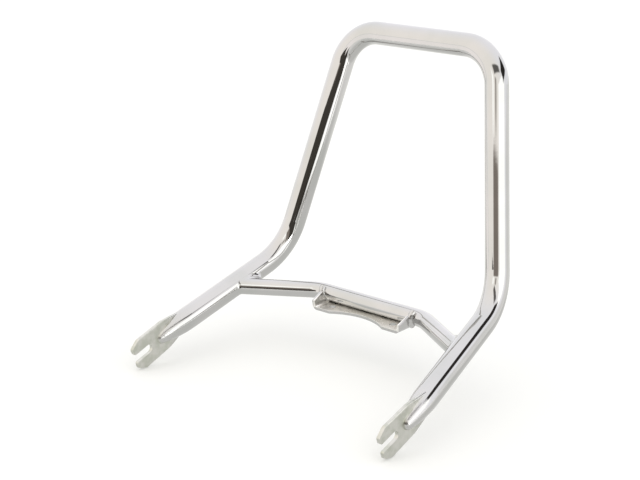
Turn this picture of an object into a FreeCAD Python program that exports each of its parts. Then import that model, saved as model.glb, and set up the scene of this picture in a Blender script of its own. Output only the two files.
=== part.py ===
import FreeCAD, Part
import math
import os

import Sketcher

# A motorcycle grab bar: one bent tube makes the hoop and both legs, and its ends are pressed
# flat and slotted for the frame bolts. A thinner bent tube crosses between the legs and carries
# a folded sheet bracket with two bolt holes. Four welds hold the three pieces together.
# Frame: origin midway between the two seated frame bolts, +X to the right along both bolts,
# +Y towards the rear, away from the slotted ends, and +Z up.

# Driving dimensions, in millimetres and degrees.
SIZES = {
    # Hoop tube, along its centre-line
    "tube_od": 22.2,
    "tube_wall": 1.6,
    "seat_span": 298.0,
    "bend_span": 258.0,
    "top_span": 169.4,
    "upright_rise": 224.4,
    "hoop_lean_angle": 13.8,
    "leg_run": 160.0,
    "leg_fall_angle": 19.2,
    "lower_bend_radius": 58.0,
    "top_bend_radius": 40.0,
    # Pressed and slotted ends
    "flatten_length": 30.0,
    "nose_reach": 12.5,
    "nose_radius": 6.0,
    "pressed_gap": 0.4,
    "margin_run": 24.0,
    "margin_root_width": 20.6,
    "heel_narrowing": 1.4,
    "flare_radius": 20.0,
    "folded_edge_radius": 1.6,
    "seat_run": 24.0,
    "tip_reach": 17.5,
    "tip_width": 21.4,
    "tip_taper": 28.0,
    "tip_corner_radius": 2.0,
    "slot_width": 8.5,
    # Crossbar
    "crossbar_od": 15.9,
    "crossbar_wall": 1.6,
    "crossbar_station": 72.2,
    "crossbar_bend_span": 126.8,
    "crossbar_advance": 22.6,
    "crossbar_bend_radius": 32.0,
    # Folded bracket under the crossbar
    "sheet_thickness": 3.0,
    "floor_width": 96.0,
    "floor_reach": 22.9,
    "floor_tail": 5.0,
    "bar_bedding": 0.3,
    "fold_radius": 2.0,
    "flange_angle": 80.0,
    "flange_front_height": 8.8,
    "flange_rear_height": 18.4,
    "flange_tuck": 2.6,
    "recess_width": 64.0,
    "recess_depth": 10.2,
    "ear_corner_radius": 4.0,
    "hole_spacing": 74.0,
    "hole_reach": 12.1,
    "hole_diameter": 7.0,
    # Welds
    "joint_weld_radius": 6.0,
    "bracket_weld_radius": 3.2,
}

# Room by which a cutting tool or an over-long blank passes the faces that it cuts.
CLEAR = 2.0
# Angle below the bar's front where a bracket weld starts, and its overrun past the flange's top edge.
WELD_START = math.radians(-62.0)
WELD_OVERRUN = math.radians(12.0)

SIDES = {"right": 1, "left": -1}

Vector = FreeCAD.Vector
doc = FreeCAD.newDocument("grab_bar")
sheet = doc.addObject("Spreadsheet::Sheet", "dims")
for row, (name, value) in enumerate(SIZES.items(), start=1):
    sheet.set(f"A{row}", name)
    sheet.set(f"B{row}", str(value))
    sheet.setAlias(f"B{row}", name)
doc.recompute()


def size(name):
    return float(sheet.get(name))


def angle(name):
    return math.radians(size(name))


def mirrored(point):
    return Vector(-point.x, point.y, point.z)


def towards(start, end):
    return (end - start).normalize()


# Lines that every piece is set out from


def leg_points():
    """Seat, start of the flat, bend corner and top corner of the right side's centre-line."""
    fall = angle("leg_fall_angle")
    back = Vector(0, math.cos(fall), math.sin(fall))
    seat = Vector(size("seat_span") / 2, 0, 0)
    flat = seat + back * size("seat_run")
    inset = (size("seat_span") - size("bend_span")) / 2
    bend = flat + back * math.sqrt(size("leg_run") ** 2 - inset**2) - Vector(inset, 0, 0)
    lean = angle("hoop_lean_angle")
    rise = Vector(0, math.sin(lean), math.cos(lean)) * size("upright_rise")
    top = bend + rise + Vector((size("top_span") - size("bend_span")) / 2, 0, 0)
    return seat, flat, bend, top


SEAT, FLAT, BEND, TOP = leg_points()
LEG_DIRECTION = towards(BEND, FLAT)
ROUND_END = FLAT - LEG_DIRECTION * size("flatten_length")
TIP_DIRECTION = towards(FLAT, SEAT)
PLATE_UP = Vector(1, 0, 0).cross(TIP_DIRECTION) * -1

BAR_END = BEND + LEG_DIRECTION * size("crossbar_station")
BAR_BEND = Vector(size("crossbar_bend_span") / 2, BEND.y - size("crossbar_advance"), BAR_END.z)

FLAT_THICKNESS = 2 * size("tube_wall") + size("pressed_gap")
# The tube's girth stays the same while it is pressed flat.
FLAT_WIDTH = math.pi * (size("tube_od") - FLAT_THICKNESS) / 2 + FLAT_THICKNESS
# Height of the crossbar's axis over the underside of the bracket's floor
BAR_HEIGHT = size("sheet_thickness") - size("bar_bedding") + size("crossbar_od") / 2


# Shared construction


def bent_path(name, points, radii):
    """Centre-line of a bent tube: straight runs joined by tangent arcs."""
    edges = []
    start = points[0]
    for before, corner, after, radius in zip(points, points[1:], points[2:], radii):
        back = towards(corner, before)
        ahead = towards(corner, after)
        half_turn = back.getAngle(ahead) / 2
        run = radius / math.tan(half_turn)
        apex = corner + (back + ahead).normalize() * (radius / math.sin(half_turn) - radius)
        edges.append(Part.LineSegment(start, corner + back * run).toShape())
        edges.append(Part.Arc(corner + back * run, apex, corner + ahead * run).toShape())
        start = corner + ahead * run
    edges.append(Part.LineSegment(start, points[-1]).toShape())
    path = doc.addObject("Part::Feature", name)
    path.Shape = Part.Wire(edges)
    return path


def sweep_round(name, path, radius_expression, start, direction):
    """Round bar of the given radius along a path."""
    section = doc.addObject("Part::Circle", name + "_section")
    section.setExpression("Radius", radius_expression)
    section.Placement = FreeCAD.Placement(start, FreeCAD.Rotation(Vector(0, 0, 1), direction))
    sweep = doc.addObject("Part::Sweep", name)
    sweep.Sections = [section]
    sweep.Spine = (path, [f"Edge{i + 1}" for i in range(len(path.Shape.Edges))])
    sweep.Solid = True
    return sweep


def fuse(name, pieces):
    joined = doc.addObject("Part::MultiFuse", name)
    joined.Shapes = pieces
    return joined


def cut(name, base, tool):
    remaining = doc.addObject("Part::Cut", name)
    remaining.Base = base
    remaining.Tool = tool
    return remaining


def mirror(name, source):
    copy = doc.addObject("Part::Mirroring", name)
    copy.Source = source
    copy.Normal = Vector(1, 0, 0)
    return copy


def new_sketch(body, name, plane_role):
    planes = [feature for feature in body.Origin.OriginFeatures if feature.Role == plane_role]
    sketch = body.newObject("Sketcher::SketchObject", name)
    sketch.AttachmentSupport = (planes[0], [""])
    sketch.MapMode = "FlatFace"
    return sketch


def add_bound(sketch, name, expression, *constraint):
    """A named sketch dimension that follows the sheet."""
    index = sketch.addConstraint(Sketcher.Constraint(*constraint))
    sketch.renameConstraint(index, name)
    sketch.setExpression("Constraints." + name, expression)


def add_polygon(sketch, corners):
    """Closed outline of straight lines through (x, y) corners; returns its line numbers."""
    lines = []
    for here, there in zip(corners, corners[1:] + corners[:1]):
        lines.append(sketch.addGeometry(Part.LineSegment(Vector(*here), Vector(*there))))
    for line, after in zip(lines, lines[1:] + lines[:1]):
        sketch.addConstraint(Sketcher.Constraint("Coincident", line, 2, after, 1))
    return lines


def pin_corners(sketch, lines, prefix, expressions):
    """Ties the start of each line to x and y expressions of the sheet."""
    for number, (line, (x_expression, y_expression)) in enumerate(zip(lines, expressions)):
        x_value, y_value = sketch.getPoint(line, 1).x, sketch.getPoint(line, 1).y
        add_bound(sketch, f"{prefix}{number}x", x_expression, "DistanceX", -1, 1, line, 1, x_value)
        add_bound(sketch, f"{prefix}{number}y", y_expression, "DistanceY", -1, 1, line, 1, y_value)


def upright_edges(shape, wanted):
    """Names of the edges along Z whose middles lie at one of the wanted (x, y) places."""
    names = []
    for number, edge in enumerate(shape.Edges, start=1):
        middle = edge.CenterOfMass
        along_z = edge.BoundBox.ZLength > max(edge.BoundBox.XLength, edge.BoundBox.YLength)
        near = any(math.hypot(middle.x - x, middle.y - y) < CLEAR / 4 for x, y in wanted)
        if along_z and near:
            names.append(f"Edge{number}")
    return names


def long_side_edges(shape, *stations):
    """Names of the straight edges, along the outer sides of a plate, that pass the given x stations."""
    widest = {}
    for number, edge in enumerate(shape.Edges, start=1):
        box = edge.BoundBox
        for station in stations:
            if box.XMin < station < box.XMax and box.ZLength < CLEAR / 4:
                key = (station, box.Center.y > 0, box.Center.z > 0)
                reach = abs(box.Center.y)
                if reach > widest.get(key, (0, ""))[0]:
                    widest[key] = (reach, f"Edge{number}")
    return sorted({name for _, name in widest.values()})


# Hoop tube


def tube_nose(name, inset):
    """Bullet-shaped nose in which the open tube runs out between the shut margins."""
    body = doc.addObject("PartDesign::Body", name)
    profile = new_sketch(body, name + "_profile", "XZ_Plane")
    rim = size("tube_od") / 2 - inset
    tip_radius = size("nose_radius") - inset
    length = size("flatten_length") + size("nose_reach") - inset
    tip_centre = length - tip_radius
    # The long flank leaves the tube's side and runs into the round tip without a crease.
    flank_radius = (rim**2 + tip_centre**2 - tip_radius**2) / (2 * (rim - tip_radius))
    turn = math.atan2(tip_centre, flank_radius - rim)
    flank_circle = Part.Circle(Vector(rim - flank_radius, 0), Vector(0, 0, 1), flank_radius)
    tip_circle = Part.Circle(Vector(0, tip_centre), Vector(0, 0, 1), tip_radius)

    base = profile.addGeometry(Part.LineSegment(Vector(), Vector(rim, 0)))
    flank = profile.addGeometry(Part.ArcOfCircle(flank_circle, 0, turn))
    tip = profile.addGeometry(Part.ArcOfCircle(tip_circle, turn, math.pi / 2))
    middle = profile.addGeometry(Part.LineSegment(Vector(0, length), Vector()))
    for rule in (
        ("Coincident", base, 1, -1, 1),
        ("Coincident", base, 2, flank, 1),
        ("PointOnObject", flank, 3, -1),
        ("Tangent", flank, 2, tip, 1),
        ("Coincident", tip, 2, middle, 1),
        ("Coincident", middle, 2, base, 1),
        ("PointOnObject", tip, 3, -2),
        ("Horizontal", base),
        ("Vertical", middle),
    ):
        profile.addConstraint(Sketcher.Constraint(*rule))
    add_bound(profile, "rim", f"dims.tube_od / 2 - {inset}", "DistanceX", base, 1, base, 2, rim)
    add_bound(profile, "tip_round", f"dims.nose_radius - {inset}", "Radius", tip, tip_radius)
    add_bound(profile, "length", f"dims.flatten_length + dims.nose_reach - {inset}",
              "DistanceY", middle, 2, middle, 1, length)
    turned = body.newObject("PartDesign::Revolution", name + "_turned")
    turned.Profile = profile
    turned.ReferenceAxis = (profile, ["V_Axis"])
    body.Placement = FreeCAD.Placement(ROUND_END, FreeCAD.Rotation(Vector(0, 0, 1), LEG_DIRECTION))
    return body


def pressed_plate():
    """Pressed-shut end of the right leg, drawn from the seated bolt: x to the tip, y across the flat.

    Its margins spread from inside the round tube to the full width, and its slot is open at the tip.
    """
    body = doc.addObject("PartDesign::Body", "pressed_plate_right")
    thickness = "(2 * dims.tube_wall + dims.pressed_gap)"
    half_width = f"(pi * (dims.tube_od - {thickness}) / 4 + {thickness} / 2)"
    shoulder = f"dims.tip_reach - ({half_width} - dims.tip_width / 2) / tan(dims.tip_taper)"
    root_x = "-(dims.seat_run + dims.margin_run)"
    side = FLAT_WIDTH / 2
    tip = size("tip_reach")
    half_tip = size("tip_width") / 2
    neck = tip - (side - half_tip) / math.tan(angle("tip_taper"))
    heel = -size("seat_run")
    root = heel - size("margin_run")
    half_root = size("margin_root_width") / 2
    half_heel = side - size("heel_narrowing") / 2

    outline = new_sketch(body, "plate_outline", "XY_Plane")
    outline.setExpression("AttachmentOffset.Base.z", f"-{thickness} / 2")
    upper = [(root, half_root), (heel, half_heel), (neck, side), (tip, half_tip)]
    upper_sizes = [
        (root_x, "dims.margin_root_width / 2"),
        ("-dims.seat_run", f"({half_width} - dims.heel_narrowing / 2)"),
        (shoulder, half_width),
        ("dims.tip_reach", "dims.tip_width / 2"),
    ]
    lines = add_polygon(outline, upper + [(x, -y) for x, y in reversed(upper)])
    pin_corners(outline, lines, "corner", upper_sizes + [(x, f"-{y}") for x, y in reversed(upper_sizes)])
    blank = body.newObject("PartDesign::Pad", "plate_blank")
    blank.Profile = outline
    blank.setExpression("Length", thickness)

    slot = new_sketch(body, "bolt_slot", "XY_Plane")
    slot.setExpression("AttachmentOffset.Base.z", f"-{thickness} / 2")
    radius = size("slot_width") / 2
    mouth = tip + CLEAR
    arc = slot.addGeometry(
        Part.ArcOfCircle(Part.Circle(Vector(), Vector(0, 0, 1), radius), math.pi / 2, 3 * math.pi / 2)
    )
    lower = slot.addGeometry(Part.LineSegment(Vector(0, -radius), Vector(mouth, -radius)))
    end = slot.addGeometry(Part.LineSegment(Vector(mouth, -radius), Vector(mouth, radius)))
    top = slot.addGeometry(Part.LineSegment(Vector(mouth, radius), Vector(0, radius)))
    for rule in (
        ("Coincident", arc, 3, -1, 1),
        ("Tangent", arc, 2, lower, 1),
        ("Coincident", lower, 2, end, 1),
        ("Coincident", end, 2, top, 1),
        ("Tangent", top, 2, arc, 1),
        ("Horizontal", lower),
        ("Vertical", end),
    ):
        slot.addConstraint(Sketcher.Constraint(*rule))
    add_bound(slot, "slot_radius", "dims.slot_width / 2", "Radius", arc, radius)
    add_bound(slot, "slot_mouth", f"dims.tip_reach + {CLEAR}", "DistanceX", -1, 1, end, 1, mouth)
    opening = body.newObject("PartDesign::Pocket", "slot_opening")
    opening.Profile = slot
    opening.Type = "ThroughAll"
    opening.Reversed = True
    doc.recompute()

    rounding = body.newObject("PartDesign::Fillet", "tip_rounding")
    places = [(tip, y) for y in (-half_tip, -radius, radius, half_tip)]
    rounding.Base = (opening, upright_edges(opening.Shape, places))
    rounding.setExpression("Radius", "dims.tip_corner_radius")
    doc.recompute()
    flare = body.newObject("PartDesign::Fillet", "flare")
    flare.Base = (rounding, upright_edges(rounding.Shape, [(heel, -half_heel), (heel, half_heel)]))
    flare.setExpression("Radius", "dims.flare_radius")
    doc.recompute()
    # The folded sides are round, and the cut tip and slot stay square.
    folded = body.newObject("PartDesign::Fillet", "folded_edges")
    folded.Base = (flare, long_side_edges(flare.Shape, (root + heel) / 2, (heel + neck) / 2))
    folded.setExpression("Radius", "dims.folded_edge_radius")
    body.Placement = FreeCAD.Placement(
        SEAT, FreeCAD.Rotation(TIP_DIRECTION, PLATE_UP, TIP_DIRECTION.cross(PLATE_UP), "ZXY")
    )
    return body


def make_hoop():
    corners = [ROUND_END, BEND, TOP, mirrored(TOP), mirrored(BEND), mirrored(ROUND_END)]
    bends = [size(name + "_bend_radius") for name in ("lower", "top", "top", "lower")]
    path = bent_path("hoop_path", corners, bends)
    start = LEG_DIRECTION * -1
    bar = sweep_round("hoop_bar", path, "dims.tube_od / 2", ROUND_END, start)
    bore = sweep_round("hoop_bore", path, "dims.tube_od / 2 - dims.tube_wall", ROUND_END, start)

    end = fuse("pressed_end_right", [tube_nose("nose_right", 0), pressed_plate()])
    outside = fuse("hoop_outside", [bar, end, mirror("pressed_end_left", end)])
    hollow = tube_nose("nose_bore_right", size("tube_wall"))
    inside = fuse("hoop_inside", [bore, hollow, mirror("nose_bore_left", hollow)])
    return cut("hoop_tube", outside, inside), outside


# Crossbar


def make_crossbar(hoop_outside):
    corners = [BAR_END, BAR_BEND, mirrored(BAR_BEND), mirrored(BAR_END)]
    path = bent_path("crossbar_path", corners, [size("crossbar_bend_radius")] * 2)
    start = towards(BAR_END, BAR_BEND)
    outside = sweep_round("crossbar_bar", path, "dims.crossbar_od / 2", BAR_END, start)
    bore = sweep_round(
        "crossbar_bore", path, "dims.crossbar_od / 2 - dims.crossbar_wall", BAR_END, start
    )
    # Both ends are coped to the legs' outsides.
    return cut("crossbar", cut("crossbar_pipe", outside, bore), hoop_outside), outside


# Bracket


def channel_profile(body):
    """Right half of the folded sheet's cross-section: floor, fold and flange."""
    half_floor = size("floor_width") / 2
    thick = size("sheet_thickness")
    inner = size("fold_radius")
    outer = inner + thick
    lean = angle("flange_angle")
    height = size("flange_rear_height")
    centre = Vector(half_floor, outer)

    def on_fold(radius):
        return centre + Vector(math.sin(lean), -math.cos(lean)) * radius

    def at_height(point):
        return point + Vector(1 / math.tan(lean), 1) * (height - point.y)

    def fold_arc(radius):
        circle = Part.Circle(centre, Vector(0, 0, 1), radius)
        return Part.ArcOfCircle(circle, -math.pi / 2, lean - math.pi / 2)

    def line(start, end):
        return Part.LineSegment(start, end)

    sketch = new_sketch(body, "channel_profile", "XZ_Plane")
    under = sketch.addGeometry(line(Vector(), Vector(half_floor, 0)))
    outer_fold = sketch.addGeometry(fold_arc(outer))
    outer_face = sketch.addGeometry(line(on_fold(outer), at_height(on_fold(outer))))
    rim = sketch.addGeometry(line(at_height(on_fold(outer)), at_height(on_fold(inner))))
    inner_face = sketch.addGeometry(line(at_height(on_fold(inner)), on_fold(inner)))
    inner_fold = sketch.addGeometry(fold_arc(inner))
    floor = sketch.addGeometry(line(Vector(half_floor, thick), Vector(0, thick)))
    middle = sketch.addGeometry(line(Vector(0, thick), Vector()))

    for rule in (
        ("Coincident", under, 1, -1, 1),
        ("Tangent", under, 2, outer_fold, 1),
        ("Tangent", outer_fold, 2, outer_face, 1),
        ("Coincident", outer_face, 2, rim, 1),
        ("Coincident", rim, 2, inner_face, 1),
        ("Tangent", inner_face, 2, inner_fold, 2),
        ("Tangent", inner_fold, 1, floor, 1),
        ("Coincident", floor, 2, middle, 1),
        ("Coincident", middle, 2, under, 1),
        ("Coincident", inner_fold, 3, outer_fold, 3),
        ("Parallel", inner_face, outer_face),
        ("Horizontal", under),
        ("Horizontal", rim),
        ("Horizontal", floor),
        ("Vertical", middle),
    ):
        sketch.addConstraint(Sketcher.Constraint(*rule))
    add_bound(sketch, "half_floor", "dims.floor_width / 2", "DistanceX", under, 1, under, 2, half_floor)
    add_bound(sketch, "sheet", "dims.sheet_thickness", "DistanceY", middle, 2, middle, 1, thick)
    add_bound(sketch, "fold", "dims.fold_radius", "Radius", inner_fold, inner)
    add_bound(sketch, "flange_lean", "dims.flange_angle * 1 deg", "Angle", under, 1, outer_face, 1, lean)
    add_bound(sketch, "rim_height", "dims.flange_rear_height", "DistanceY", -1, 1, rim, 1, height)
    return sketch


def flange_slope(body):
    """What is cut off over the sloping top edge of a flange and behind it, seen from the side."""
    reach = size("floor_reach")
    rear = size("flange_rear_height")
    tuck = size("flange_tuck")
    root = size("fold_radius") + size("sheet_thickness")
    slope = (rear - size("flange_front_height")) / reach
    sketch = new_sketch(body, "flange_slope", "YZ_Plane")
    rise = "(dims.flange_rear_height - dims.flange_front_height) / dims.floor_reach"
    front_x = f"-(dims.floor_reach + {CLEAR})"
    fold_top = "dims.fold_radius + dims.sheet_thickness"
    low = f"dims.flange_front_height - {CLEAR} * {rise}"
    tip = f"dims.flange_rear_height - dims.flange_tuck * {rise}"
    high = f"dims.flange_rear_height + {CLEAR}"
    corners = [
        (-reach - CLEAR, size("flange_front_height") - CLEAR * slope),
        (-tuck, rear - tuck * slope),
        (-tuck, root),
        (CLEAR, root),
        (CLEAR, rear + CLEAR),
        (-reach - CLEAR, rear + CLEAR),
    ]
    corner_sizes = [
        (front_x, low),
        ("-dims.flange_tuck", tip),
        ("-dims.flange_tuck", fold_top),
        (f"{CLEAR}", fold_top),
        (f"{CLEAR}", high),
        (front_x, high),
    ]
    pin_corners(sketch, add_polygon(sketch, corners), "corner", corner_sizes)
    return sketch


def make_bracket(crossbar_outside):
    body = doc.addObject("PartDesign::Body", "bracket_sheet")
    half = body.newObject("PartDesign::Pad", "channel_half")
    half.Profile = channel_profile(body)
    half.setExpression("Length", "dims.floor_reach")
    trim = body.newObject("PartDesign::Pocket", "flange_trim")
    trim.Profile = flange_slope(body)
    trim.Type = "ThroughAll"
    trim.Reversed = True
    channel = body.newObject("PartDesign::Mirrored", "channel")
    channel.Originals = [half, trim]
    planes = [feature for feature in body.Origin.OriginFeatures if feature.Role == "YZ_Plane"]
    channel.MirrorPlane = (planes[0], [""])
    body.Tip = channel
    doc.recompute()

    tail_sketch = new_sketch(body, "tail_outline", "XY_Plane")
    side = size("floor_width") / 2
    tail = size("floor_tail")
    lines = add_polygon(tail_sketch, [(-side, 0), (side, 0), (side, tail), (-side, tail)])
    half_floor = "dims.floor_width / 2"
    pin_corners(
        tail_sketch,
        lines,
        "corner",
        [
            (f"-{half_floor}", "0"),
            (half_floor, "0"),
            (half_floor, "dims.floor_tail"),
            (f"-{half_floor}", "dims.floor_tail"),
        ],
    )
    tail_pad = body.newObject("PartDesign::Pad", "floor_tail")
    tail_pad.Profile = tail_sketch
    tail_pad.setExpression("Length", "dims.sheet_thickness")

    recess_sketch = new_sketch(body, "recess_circle", "XY_Plane")
    depth = size("recess_depth")
    radius = ((size("recess_width") / 2) ** 2 + depth**2) / (2 * depth)
    ahead = size("floor_reach") - depth + radius
    ring = recess_sketch.addGeometry(Part.Circle(Vector(0, -ahead), Vector(0, 0, 1), radius))
    recess_radius = "((dims.recess_width / 2) ^ 2 + dims.recess_depth ^ 2) / (2 * dims.recess_depth)"
    recess_sketch.addConstraint(Sketcher.Constraint("PointOnObject", ring, 3, -2))
    add_bound(recess_sketch, "recess_radius", recess_radius, "Radius", ring, radius)
    add_bound(
        recess_sketch,
        "recess_ahead",
        f"-(dims.floor_reach - dims.recess_depth + {recess_radius})",
        "DistanceY", -1, 1, ring, 3, -ahead,
    )
    recess = body.newObject("PartDesign::Pocket", "recess")
    recess.Profile = recess_sketch
    recess.Type = "ThroughAll"
    recess.Reversed = True
    doc.recompute()

    ears = body.newObject("PartDesign::Fillet", "ear_rounding")
    places = [(sign * size("recess_width") / 2, -size("floor_reach")) for sign in SIDES.values()]
    ears.Base = (recess, upright_edges(recess.Shape, places))
    ears.setExpression("Radius", "dims.ear_corner_radius")

    hole_sketch = new_sketch(body, "hole_circles", "XY_Plane")
    for name, sign in SIDES.items():
        place = Vector(sign * size("hole_spacing") / 2, -size("hole_reach"))
        hole = hole_sketch.addGeometry(Part.Circle(place, Vector(0, 0, 1), size("hole_diameter") / 2))
        add_bound(hole_sketch, name + "_radius", "dims.hole_diameter / 2", "Radius", hole,
                  size("hole_diameter") / 2)
        add_bound(hole_sketch, name + "_across", f"{sign} * dims.hole_spacing / 2",
                  "DistanceX", -1, 1, hole, 3, place.x)
        add_bound(hole_sketch, name + "_ahead", "-dims.hole_reach", "DistanceY", -1, 1, hole, 3, place.y)
    holes = body.newObject("PartDesign::Pocket", "bolt_holes")
    holes.Profile = hole_sketch
    holes.Type = "ThroughAll"
    holes.Reversed = True

    body.Placement.Base = Vector(0, BAR_BEND.y, BAR_END.z - BAR_HEIGHT)
    # The flanges are coped to the crossbar, and the floor is bedded under it.
    return cut("bracket", body, crossbar_outside)


# Welds


def round_stub(name, diameter, middle, direction):
    """Straight piece of a tube's outside, centred on a point of its axis."""
    stub = doc.addObject("Part::Cylinder", name)
    stub.setExpression("Radius", f"dims.{diameter} / 2")
    stub.setExpression("Height", "4 * dims.tube_od")
    start = middle - direction * (2 * size("tube_od"))
    stub.Placement = FreeCAD.Placement(start, FreeCAD.Rotation(Vector(0, 0, 1), direction))
    return stub


def joint_edges(shape, rounds):
    """Numbers of the edges that lie on the outsides of all the given (diameter, axis) tubes."""
    numbers = []
    for number, edge in enumerate(shape.Edges, start=1):
        spoke = edge.valueAt((edge.FirstParameter + edge.LastParameter) / 2) - BAR_END
        misses = [abs((spoke - axis * spoke.dot(axis)).Length - size(name) / 2) for name, axis in rounds]
        if max(misses) < CLEAR / 100:
            numbers.append(number)
    return numbers


def make_joint_weld():
    """Weld ground to a smooth hollow round the joint of the crossbar and the right leg."""
    inward = towards(BAR_END, BAR_BEND)
    leg = round_stub("joint_leg", "tube_od", BAR_END, LEG_DIRECTION)
    bar = round_stub("joint_bar", "crossbar_od", BAR_END + inward * (2 * size("tube_od")), inward)
    joint = fuse("joint", [leg, bar])
    doc.recompute()
    hollow = doc.addObject("Part::Fillet", "joint_hollow")
    hollow.Base = joint
    radius = size("joint_weld_radius")
    rounds = [("tube_od", LEG_DIRECTION), ("crossbar_od", inward)]
    hollow.Edges = [(number, radius, radius) for number in joint_edges(joint.Shape, rounds)]
    return cut("joint_weld_right", cut("joint_hollow_off_leg", hollow, leg), bar)


def make_bracket_weld(bracket, crossbar_outside):
    """Bead along the outer edge of the right flange, where it meets the crossbar."""
    lean = angle("flange_angle")
    outer = size("fold_radius") + size("sheet_thickness")
    outer_face = outer + (BAR_HEIGHT - outer) * math.cos(lean)
    axis_point = Vector(size("floor_width") / 2 + outer_face / math.sin(lean), BAR_BEND.y, BAR_END.z)
    up_flange = Vector(math.cos(lean), 0, math.sin(lean))
    radius = size("crossbar_od") / 2

    # Angle round the bar at which the sloping top edge of the flange reaches it, or the bar's top
    slope = (size("flange_rear_height") - size("flange_front_height")) / size("floor_reach")
    lift = radius * math.sin(lean)
    drop = radius * slope
    reach = min(1.0, (size("flange_rear_height") - BAR_HEIGHT) / math.hypot(lift, drop))
    end = math.asin(reach) - math.atan2(drop, lift) + WELD_OVERRUN

    def around(turn):
        return Vector(0, -math.cos(turn), 0) + up_flange * math.sin(turn)

    across = Vector(0, -1, 0).cross(up_flange)
    start = around(WELD_START)
    ring = doc.addObject("Part::Torus", "bracket_bead_ring")
    ring.setExpression("Radius1", "dims.crossbar_od / 2")
    ring.setExpression("Radius2", "dims.bracket_weld_radius")
    ring.Angle3 = math.degrees(end - WELD_START)
    turn = FreeCAD.Rotation(start, across.cross(start), across, "ZXY")
    ring.Placement = FreeCAD.Placement(axis_point, turn)
    return cut("bracket_weld_right", cut("bracket_bead_off_bar", ring, crossbar_outside), bracket)


hoop_tube, hoop_outside = make_hoop()
crossbar, crossbar_outside = make_crossbar(hoop_outside)
bracket = make_bracket(crossbar_outside)
right_welds = [
    make_joint_weld(),
    make_bracket_weld(bracket, crossbar_outside),
]
welds = doc.addObject("Part::Compound", "welds")
welds.Links = right_welds + [mirror(f"{weld.Name}_left", weld) for weld in right_welds]
sub_parts = [hoop_tube, crossbar, bracket, welds]
doc.recompute()

for item in doc.Objects:
    if "Invalid" in item.State or "Error" in item.State:
        raise RuntimeError(f"{item.Label} failed: {item.State}")
for piece in sub_parts:
    if piece.Shape.isNull() or not piece.Shape.isValid():
        raise RuntimeError(f"{piece.Label} has no valid shape")

os.makedirs("parts", exist_ok=True)
for piece in sub_parts:
    piece.Shape.exportStep(os.path.join("parts", piece.Label + ".step"))
    box = piece.Shape.BoundBox
    extent = f"{box.XLength:.1f} x {box.YLength:.1f} x {box.ZLength:.1f} mm"
    print(f"{piece.Label}: {len(piece.Shape.Solids)} solid, {piece.Shape.Volume:.0f} mm3, {extent}")
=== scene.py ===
import math

import bpy
from mathutils import Matrix, Vector


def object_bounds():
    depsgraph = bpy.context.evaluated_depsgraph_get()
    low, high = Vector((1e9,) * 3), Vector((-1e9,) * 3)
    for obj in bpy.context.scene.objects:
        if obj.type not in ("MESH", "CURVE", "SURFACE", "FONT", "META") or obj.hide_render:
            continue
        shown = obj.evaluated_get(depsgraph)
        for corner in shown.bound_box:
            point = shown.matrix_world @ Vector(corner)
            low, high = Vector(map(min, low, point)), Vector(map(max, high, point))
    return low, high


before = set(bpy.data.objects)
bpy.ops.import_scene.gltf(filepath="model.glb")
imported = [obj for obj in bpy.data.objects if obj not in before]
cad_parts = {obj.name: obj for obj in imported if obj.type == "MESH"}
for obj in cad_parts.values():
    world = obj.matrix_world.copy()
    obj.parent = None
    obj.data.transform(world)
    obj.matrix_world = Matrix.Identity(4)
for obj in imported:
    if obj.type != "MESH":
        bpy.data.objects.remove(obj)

# The camera that the photograph was taken with, fitted to the outlines of the tubes
CAMERA_PLACE = (0.8328, -0.84581, 0.51446)
CAMERA_RIGHT = Vector((0.74682, 0.66486, -0.01506))
CAMERA_UP = Vector((-0.19148, 0.23666, 0.95254))
CAMERA_BACK = Vector((0.63686, -0.70849, 0.30405))
CAMERA_LENS = 82.24
CAMERA_SENSOR = 36.0
CAMERA_NEAR = 0.01
# The outlines were measured at the middles of the pixels
PHOTO_WIDTH = 640
HALF_PIXEL = 0.5 / PHOTO_WIDTH

FLOOR_REACH = 14.0
FLOOR_GAP = 0.0005
FLOOR_COLOUR = (0.69, 0.70, 0.68, 1.0)
# Light that the floor gives off for the camera and for the polish
FLOOR_LIFT = 0.16

WHITE = (1.0, 1.0, 1.0, 1.0)
SKY_WARM = (1.0, 0.958, 0.905, 1.0)
SKY_COOL = (0.965, 0.962, 1.0, 1.0)
SKY_STRENGTH = 1.36
# Where the sky turns from warm to cool, between the front and the rear
SKY_TURN = (-0.9, 0.6)

STUDIO_CENTRE = Vector((0.0, 0.12, 0.12))
UPWARD = Vector((0.0, 0.0, 1.0))

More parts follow.
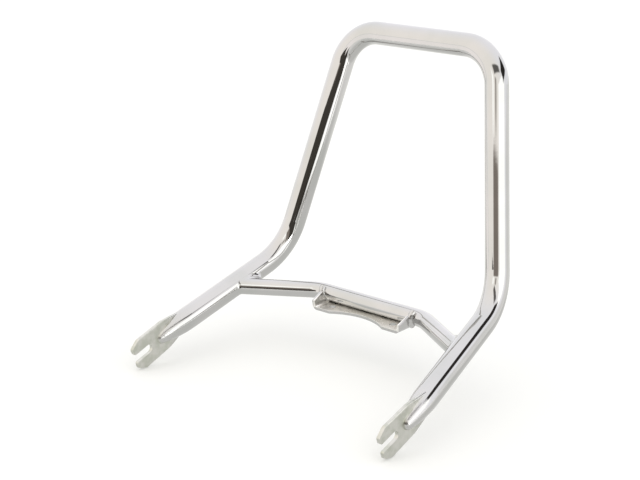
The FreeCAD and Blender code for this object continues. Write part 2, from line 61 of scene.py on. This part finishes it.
# Cards that face the object and show only in its polish: name, bearing from the front,
# height angle, distance, width, height, colour, strength, edge softness
FACING_CARDS = (
    ("dark_front", 29.0, -1.0, 0.80, 1.40, 0.40, (0.075, 0.067, 0.057, 1.0), 1.0, 0.065),
    ("brown_front", 30.0, 18.0, 0.80, 0.80, 0.26, (0.33, 0.285, 0.25, 1.0), 1.0, 0.18),
    ("brown_upright", 35.0, 34.0, 0.80, 0.26, 0.24, (0.55, 0.51, 0.46, 1.0), 1.0, 0.30),
    ("white_upright", 5.0, 33.0, 0.80, 0.24, 0.30, (1.0, 1.0, 0.97, 1.0), 1.8, 0.30),
    ("grey_over_front", 58.0, 52.0, 0.85, 0.95, 0.22, (0.18, 0.17, 0.16, 1.0), 1.0, 0.25),
    ("dark_rear", 128.0, 35.0, 0.85, 0.66, 0.32, (0.035, 0.032, 0.030, 1.0), 1.0, 0.12),
    ("grey_rear", 135.0, 3.0, 0.82, 0.48, 0.33, (1.0, 0.99, 0.975, 1.0), 1.06, 0.32),
    ("white_low_right", 68.0, 0.0, 1.00, 0.40, 0.36, (1.0, 1.0, 0.99, 1.0), 6.0, 0.30),
    ("soft_box_right", 87.0, 18.0, 1.10, 1.20, 0.70, (1.0, 1.0, 0.985, 1.0), 1.9, 0.12),
    ("soft_box_left", -108.0, 10.0, 1.10, 0.60, 0.80, (1.0, 0.99, 1.0, 1.0), 1.3, 0.20),
)
# Cards that lie on the floor, the lowest first: the object's own shade on the paper,
# the dark room past the table's edge and two pools of light on the paper.
# Name, bearing, distance, width, depth, colour, strength, edge softness
LYING_CARDS = (
    ("shaded_paper", 165.0, 0.12, 0.80, 0.80, (1.0, 1.0, 0.975, 1.0), 0.83, 0.28),
    ("table_edge", 34.0, 0.60, 1.06, 0.50, (0.055, 0.048, 0.040, 1.0), 1.0, 0.12),
    ("lit_paper_left", -42.0, 1.75, 3.20, 2.90, (1.0, 0.955, 0.93, 1.0), 1.36, 0.05),
    ("lit_paper_right", 80.0, 0.64, 0.56, 0.66, (1.0, 1.0, 0.985, 1.0), 1.9, 0.15),
)
# Height of the lowest lying card over the floor, and of each further one over the last
CARD_STEP = 0.0004

CHROME_PALE = (0.565, 0.558, 0.552, 1.0)
CHROME_DEEP = (0.525, 0.527, 0.515, 1.0)
# Clouds over the plating: scale, detail, roughness
TINT_CLOUDS = (22.0, 4.0, 0.5)
HAZE_CLOUDS = (70.0, 6.0, 0.6)
MOTTLE_CLOUDS = (110.0, 5.0, 0.55)
# Levels of the clouds between which the tint, the haze and the mottle change
TINT_LEVELS = (0.35, 0.65)
HAZE_LEVELS = (0.35, 0.75)
MOTTLE_LEVELS = (0.36, 0.64)
# Detail and roughness of the waviness
RIPPLE_GRAIN = (3.0, 0.5)

# The pressed ends: distance of their middle planes from the middle of the bar, where the pressing
# runs out along the leg, and how far from a middle plane the flat margins reach
PLATE_MIDDLE = 0.149
PRESSING_FADE = (0.020, 0.048)
MARGIN_FADE = (0.0019, 0.0045)
SATIN_PALE = (0.62, 0.615, 0.575, 1.0)
SATIN_DEEP = (0.51, 0.52, 0.46, 1.0)
PRESSING_HAZE = 0.20
MARGIN_HAZE = 0.08

# The inside of the bracket's tray, which buffing does not reach and which has painted light in its
# colour:
# from the top of its floor upwards, and between its flanges
TRAY_FLOOR_FADE = (0.0281, 0.0287)
TRAY_SIDE_FADE = (0.0517, 0.0527)
# Painted light: the tray's inside is far paler than the chrome, which lightens the shade in the
# recess
TRAY_PAINTED_LIGHT_PALE = (0.90, 0.885, 0.85, 1.0)
TRAY_PAINTED_LIGHT_DEEP = (0.82, 0.805, 0.77, 1.0)
# Real duller plating in the tray: roughness only
UNBUFFED_HAZE = 0.10

# Distance from the middle of the bar within which the beads are left as welded
BEAD_FADE = (0.070, 0.090)
BEAD_HAZE = 0.16

# Node, material, least and most roughness, scale and depth of the waviness, and a finish
# that only a part of the node has
FINISHES = (
    ("hoop_tube", "chrome_tube", (0.03, 0.075), 60.0, 0.00004, "satin"),
    ("crossbar", "chrome_crossbar", (0.04, 0.09), 80.0, 0.00005, None),
    ("bracket", "chrome_bracket", (0.16, 0.30), 120.0, 0.00006, "unbuffed_and_painted_light"),
    ("welds", "chrome_weld", (0.05, 0.12), 320.0, 0.00080, "as_welded"),
)

# Sockets that share a name and go by their number: the two colours and the result
# of a colour mix, the two shaders of a shader mix, and the two sides of a sum
MIX_COLOURS = (6, 7)
MIX_RESULT = 2
MIX_SHADERS = (1, 2)
SUM_SIDES = (0, 1)


def feed(tree, socket, value):
    """Give a socket a fixed value, or the output of another node."""
    if isinstance(value, bpy.types.NodeSocket):
        tree.links.new(value, socket)
    else:
        socket.default_value = value


def add_node(tree, kind, **inputs):
    """A node of a kind, its inputs fed by name, with _ for a space."""
    node = tree.nodes.new("ShaderNode" + kind)
    for name, value in inputs.items():
        feed(tree, node.inputs[name.replace("_", " ")], value)
    return node


def feed_pair(tree, node, numbers, pair):
    """Feed the two inputs of a node that are known by their numbers."""
    for number, value in zip(numbers, pair):
        feed(tree, node.inputs[number], value)


def ramp(tree, value, limits, first=0.0, last=1.0):
    """A value that runs smoothly from first to last between two limits, and stays there."""
    low, high = limits
    node = add_node(tree, "MapRange", Value=value, From_Min=low, From_Max=high,
                    To_Min=first, To_Max=last)
    node.interpolation_type = "SMOOTHSTEP"
    return node.outputs["Result"]


def blend(tree, factor, first, last):
    """A colour that runs from first to last; each is a colour or a socket."""
    node = add_node(tree, "Mix", Factor=factor)
    node.data_type = "RGBA"
    feed_pair(tree, node, MIX_COLOURS, (first, last))
    return node.outputs[MIX_RESULT]


def mix_shaders(tree, factor, first, last):
    """A shader that runs from first to last."""
    node = add_node(tree, "MixShader", Fac=factor)
    feed_pair(tree, node, MIX_SHADERS, (first, last))
    return node.outputs["Shader"]


def combine(tree, operation, first, second=0.0):
    """A sum, product or the like of two sockets or numbers."""
    node = add_node(tree, "Math")
    node.operation = operation
    feed_pair(tree, node, SUM_SIDES, (first, second))
    return node.outputs["Value"]


def add_share(tree, base, share, amount):
    """A base value with a share of an amount on top."""
    return combine(tree, "ADD", base, combine(tree, "MULTIPLY", share, amount))


def clouds(tree, place, scale, detail, roughness):
    """An uneven, cloudy value over a surface."""
    node = add_node(tree, "TexNoise", Vector=place, Scale=scale, Detail=detail, Roughness=roughness)
    return node.outputs["Fac"]


def place_and_axes(tree, space):
    """A place in a space, whole and as its X, Y and Z."""
    place = add_node(tree, "TexCoord").outputs[space]
    return place, add_node(tree, "SeparateXYZ", Vector=place).outputs


def empty_tree(owner):
    """The node tree of a material or a world, with nothing in it."""
    owner.use_nodes = True
    owner.node_tree.nodes.clear()
    return owner.node_tree


def chrome(name, roughness, ripple_scale, ripple_depth, finish):
    """Plated steel: polish haze, a faint change of tint and the waviness left by buffing."""
    material = bpy.data.materials.new(name)
    tree = empty_tree(material)
    place, axes = place_and_axes(tree, "Object")
    aside = combine(tree, "ABSOLUTE", axes["X"])
    tint = ramp(tree, clouds(tree, place, *TINT_CLOUDS), TINT_LEVELS)
    colour = blend(tree, tint, CHROME_DEEP, CHROME_PALE)
    haze = ramp(tree, clouds(tree, place, *HAZE_CLOUDS), HAZE_LEVELS, *roughness)
    ripple = clouds(tree, place, ripple_scale, *RIPPLE_GRAIN)

    if finish == "satin":
        pressed = ramp(tree, axes["Y"], PRESSING_FADE, 1.0, 0.0)
        off_middle = combine(tree, "ABSOLUTE", combine(tree, "SUBTRACT", aside, PLATE_MIDDLE))
        margin = combine(tree, "MULTIPLY", pressed, ramp(tree, off_middle, MARGIN_FADE, 1.0, 0.0))
        mottle = ramp(tree, clouds(tree, place, *MOTTLE_CLOUDS), MOTTLE_LEVELS)
        colour = blend(tree, margin, colour, blend(tree, mottle, SATIN_DEEP, SATIN_PALE))
        haze = add_share(tree, haze, margin, MARGIN_HAZE)
        haze = add_share(tree, haze, pressed, PRESSING_HAZE)
    # The tray: duller unbuffed plating, and painted light in its colour
    elif finish == "unbuffed_and_painted_light":
        above = ramp(tree, axes["Z"], TRAY_FLOOR_FADE)
        within = ramp(tree, aside, TRAY_SIDE_FADE, 1.0, 0.0)
        unbuffed_and_painted_light = combine(tree, "MULTIPLY", above, within)
        # Painted light: a far paler colour lightens the shade in the recess; the added haze is the
        # duller plating
        colour = blend(tree, unbuffed_and_painted_light, colour, blend(tree, tint, TRAY_PAINTED_LIGHT_DEEP, TRAY_PAINTED_LIGHT_PALE))
        haze = add_share(tree, haze, unbuffed_and_painted_light, UNBUFFED_HAZE)
    elif finish == "as_welded":
        as_welded = ramp(tree, aside, BEAD_FADE, 1.0, 0.0)
        haze = add_share(tree, haze, as_welded, BEAD_HAZE)
        ripple = combine(tree, "MULTIPLY", ripple, as_welded)

    bump = add_node(tree, "Bump", Strength=1.0, Distance=ripple_depth, Height=ripple)
    shader = add_node(tree, "BsdfPrincipled", Metallic=1.0, Base_Color=colour, Roughness=haze,
                      Normal=bump.outputs["Normal"])
    add_node(tree, "OutputMaterial", Surface=shader.outputs["BSDF"])
    return material


def plane(name, width, height, matrix):
    """A flat rectangle, its face along the matrix's Z axis."""
    x = width / 2
    y = height / 2
    mesh = bpy.data.meshes.new(name)
    mesh.from_pydata([(-x, -y, 0.0), (x, -y, 0.0), (x, y, 0.0), (-x, y, 0.0)], [], [(0, 1, 2, 3)])
    thing = bpy.data.objects.new(name, mesh)
    thing.matrix_world = matrix
    bpy.context.scene.collection.objects.link(thing)
    return thing


def make_floor(level):
    """A pale floor that keeps the object's shadow."""
    floor = plane("floor", FLOOR_REACH, FLOOR_REACH, Matrix.Translation((0.0, 0.0, level)))
    material = bpy.data.materials.new("floor_paper")
    tree = empty_tree(material)
    paper = add_node(tree, "BsdfDiffuse", Color=FLOOR_COLOUR)
    path = add_node(tree, "LightPath").outputs
    seen = combine(tree, "MAXIMUM", path["Is Camera Ray"], path["Is Glossy Ray"])
    glow = add_node(tree, "Emission", Strength=combine(tree, "MULTIPLY", seen, FLOOR_LIFT))
    both = add_node(tree, "AddShader")
    feed_pair(tree, both, SUM_SIDES, (paper.outputs["BSDF"], glow.outputs["Emission"]))
    add_node(tree, "OutputMaterial", Surface=both.outputs["Shader"])
    floor.data.materials.append(material)


def placed(right, up, back, place):
    """The matrix of something at a place, from its own three directions."""
    matrix = Matrix((right, up, back)).transposed().to_4x4()
    matrix.translation = place
    return matrix


def facing(bearing, rise, distance):
    """Place of a card that faces the object from a bearing and a height angle."""
    turn = math.radians(bearing)
    lift = math.radians(rise)
    level = math.cos(lift)
    outward = Vector((level * math.sin(turn), -level * math.cos(turn), math.sin(lift)))
    across = outward.cross(UPWARD).normalized()
    return placed(across, across.cross(outward), -outward, STUDIO_CENTRE + outward * distance)


def lying(bearing, distance, level):
    """Place of a card that lies flat at a bearing."""
    turn = Matrix.Rotation(math.radians(bearing), 4, "Z")
    ahead = Matrix.Translation((0.0, -distance, 0.0))
    return Matrix.Translation((STUDIO_CENTRE.x, STUDIO_CENTRE.y, level)) @ turn @ ahead


def make_card(name, matrix, width, height, colour, strength, softness):
    """A card with soft edges, seen only in reflections."""
    card = plane(name, width, height, matrix)
    material = bpy.data.materials.new(name)
    tree = empty_tree(material)
    _, axes = place_and_axes(tree, "Generated")
    sides = []
    for axis in ("X", "Y"):
        near = ramp(tree, axes[axis], (0.0, softness))
        far = ramp(tree, axes[axis], (1.0 - softness, 1.0), 1.0, 0.0)
        sides.append(combine(tree, "MULTIPLY", near, far))
    cover = combine(tree, "MULTIPLY", *sides)
    clear = add_node(tree, "BsdfTransparent").outputs["BSDF"]
    glow = add_node(tree, "Emission", Color=colour, Strength=strength).outputs["Emission"]
    add_node(tree, "OutputMaterial", Surface=mix_shaders(tree, cover, clear, glow))
    card.data.materials.append(material)
    card.visible_camera = False
    card.visible_diffuse = False
    card.visible_shadow = False


def make_sky():
    """An even white studio, a little warmer at the front; the background itself is white."""
    world = bpy.data.worlds.new("studio")
    tree = empty_tree(world)
    _, axes = place_and_axes(tree, "Generated")
    tint = blend(tree, ramp(tree, axes["Y"], SKY_TURN), SKY_WARM, SKY_COOL)
    light = add_node(tree, "Background", Color=tint, Strength=SKY_STRENGTH).outputs["Background"]
    backdrop = add_node(tree, "Background", Color=WHITE).outputs["Background"]
    seen = add_node(tree, "LightPath").outputs["Is Camera Ray"]
    add_node(tree, "OutputWorld", Surface=mix_shaders(tree, seen, light, backdrop))
    bpy.context.scene.world = world


def make_camera():
    """The camera that the photograph was taken with."""
    data = bpy.data.cameras.new("photo_camera")
    data.lens = CAMERA_LENS
    data.sensor_width = CAMERA_SENSOR
    data.clip_start = CAMERA_NEAR
    data.shift_x = -HALF_PIXEL
    data.shift_y = HALF_PIXEL
    camera = bpy.data.objects.new("photo_camera", data)
    camera.matrix_world = placed(CAMERA_RIGHT, CAMERA_UP, CAMERA_BACK, CAMERA_PLACE)
    bpy.context.scene.collection.objects.link(camera)
    bpy.context.scene.camera = camera


def dress(node_name, material):
    """Give a node its one material."""
    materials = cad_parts[node_name].data.materials
    materials.clear()
    materials.append(material)


cad_low, cad_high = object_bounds()
bpy.context.scene.view_settings.view_transform = "Standard"
make_sky()
floor_level = cad_low[2] - FLOOR_GAP
make_floor(floor_level)
for name, bearing, rise, distance, *rest in FACING_CARDS:
    make_card(name, facing(bearing, rise, distance), *rest)
for layer, (name, bearing, distance, *rest) in enumerate(LYING_CARDS, start=1):
    make_card(name, lying(bearing, distance, floor_level + layer * CARD_STEP), *rest)
make_camera()
for node_name, *plating in FINISHES:
    dress(node_name, chrome(*plating))
